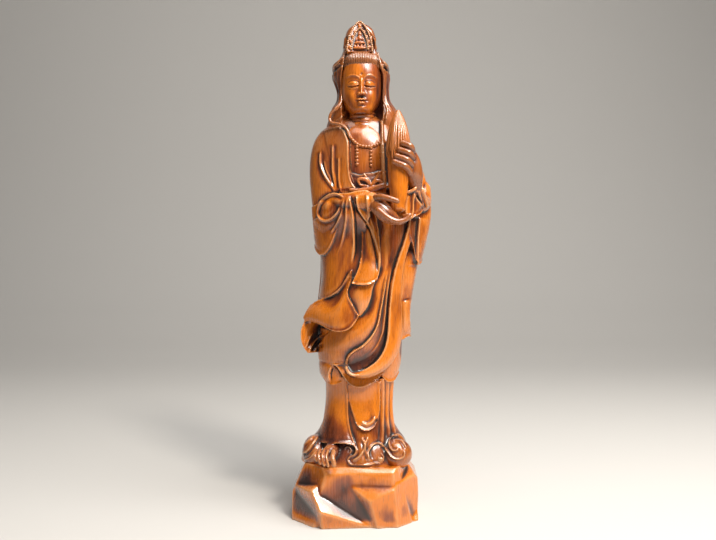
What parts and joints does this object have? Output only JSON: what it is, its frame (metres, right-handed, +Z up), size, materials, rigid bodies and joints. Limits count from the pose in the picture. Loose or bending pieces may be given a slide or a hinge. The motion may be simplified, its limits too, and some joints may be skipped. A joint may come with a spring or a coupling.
{
  "type": "guanyin figure",
  "caption": "Carved wooden figure of a standing Guanyin in a hooded robe, holding a sheaf upright in one arm, on a low rock carved in one piece with it.",
  "frame": {"origin": "middle of the flat underside of the rock", "axes": "+Z up; the figure faces -Y, and +X is to the right as seen from the front"},
  "size_m": [0.1117, 0.0957, 0.3973],
  "materials": {
    "carved_wood": "dark orange-brown hardwood with vertical grain and fine pores, waxed and polished to a gloss"
  },
  "bodies": {
    "root": {"guanyin_figure": "carved_wood"}
  },
  "joints": []
}
